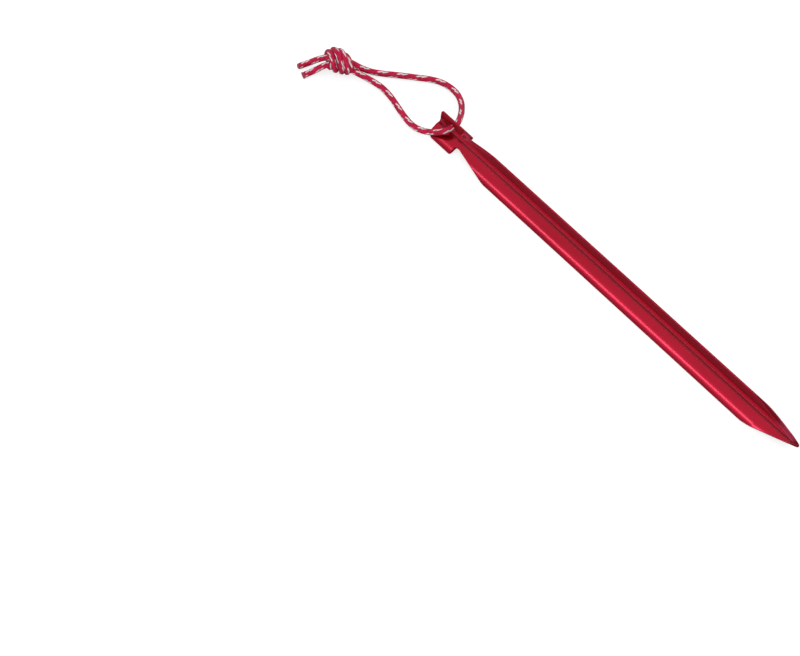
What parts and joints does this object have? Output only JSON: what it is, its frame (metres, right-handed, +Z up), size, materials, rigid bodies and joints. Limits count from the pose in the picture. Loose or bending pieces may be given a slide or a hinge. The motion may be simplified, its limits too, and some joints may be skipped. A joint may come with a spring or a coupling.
{
  "type": "tent stake",
  "caption": "Y-section anodised aluminium tent stake with a notched hook head, a tapered point and a knotted reflective pull-cord loop through the head.",
  "frame": {"origin": "on the surface the stake lies on, midway between its struck end and its point, under its centre line", "axes": "+X along the stake from the struck end towards the point, +Z up through the fin that has the cord hole, +Y to the side the loop's far strand lies on"},
  "size_m": [0.2476, 0.041, 0.011],
  "materials": {
    "anodised_red": "bright red anodising over fine extrusion lines",
    "braided_cord": "red braid with pale grey reflective tracer",
    "melted_end": "heat-sealed cord end, dark and slightly glossy"
  },
  "bodies": {
    "stake": {"stake_body": "anodised_red"},
    "pull_loop": {"pull_cord": "braided_cord", "cord_knot": "braided_cord", "tail_long": "braided_cord", "tail_short": "braided_cord", "tail_long_seal": "melted_end", "tail_short_seal": "melted_end"}
  },
  "joints": [
    {"name": "loop_swing", "type": "hinge", "parent": "stake", "child": "pull_loop", "pos_m": [-0.0875, 0, 0.00688], "axis": [0, 1, 0], "range_deg": [0, 170]}
  ]
}
